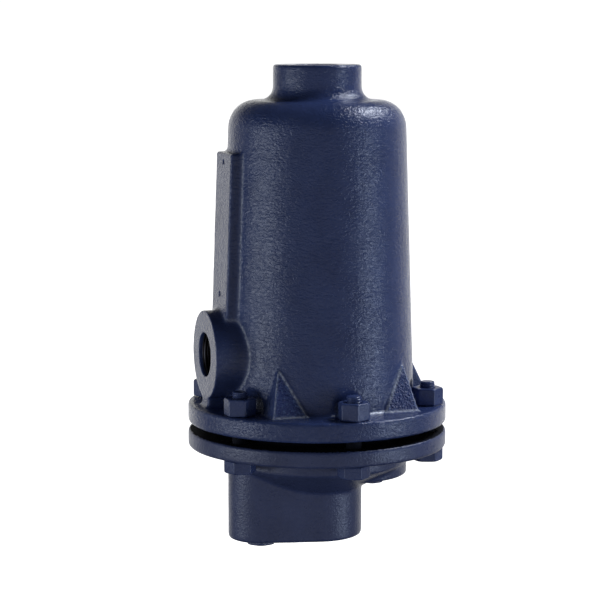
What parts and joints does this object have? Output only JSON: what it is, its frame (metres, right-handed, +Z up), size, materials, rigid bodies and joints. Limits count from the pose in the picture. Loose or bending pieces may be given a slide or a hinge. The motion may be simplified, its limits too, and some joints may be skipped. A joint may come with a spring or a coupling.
{
  "type": "steam trap",
  "caption": "Float-operated cast iron steam trap: bell body on a bolted bottom cap, top and side inlets, bottom outlet, hinged float lever opening a ball valve.",
  "frame": {"origin": "centre of the outlet boss face, on the main axis", "axes": "+Z up along the main axis toward the top inlet; the side inlet looks toward -X; one flange bolt stands at -Y"},
  "size_m": [0.1626, 0.1626, 0.3005],
  "materials": {
    "cast_paint": "dark navy paint on sand-cast iron, semi-gloss",
    "bolt_paint": "dark navy paint on steel fasteners, semi-gloss",
    "gasket_sheet": "matte graphite and fibre sheet",
    "stainless": "pressed stainless sheet, satin",
    "hard_stainless": "turned hardened stainless, fine turning marks",
    "spring_steel": "dark spring steel, satin",
    "copper_washer": "annealed copper",
    "float_sheet": "thin drawn stainless sheet, light polish, seam-welded"
  },
  "bodies": {
    "housing": {"body": "cast_paint", "cap": "cast_paint", "body_gasket": "gasket_sheet", "flange_bolts": "bolt_paint", "flange_nuts": "bolt_paint", "drain_plug": "cast_paint", "test_plug": "cast_paint", "valve_seat": "hard_stainless", "seat_gasket": "copper_washer", "fulcrum_bracket": "stainless", "fulcrum_pin": "hard_stainless", "pin_clip": "spring_steel", "bracket_screws": "stainless", "bracket_washers": "spring_steel"},
    "float_lever": {"lever": "stainless", "valve": "hard_stainless", "valve_retainer": "stainless", "float_lower_shell": "float_sheet", "float_upper_shell": "float_sheet", "float_boss": "stainless", "float_screw": "stainless", "float_washer": "spring_steel"}
  },
  "joints": [
    {"name": "float_hinge", "type": "hinge", "parent": "housing", "child": "float_lever", "pos_m": [0, 0.036, 0.084], "axis": [-1, 0, 0], "range_deg": [0, 12]}
  ]
}
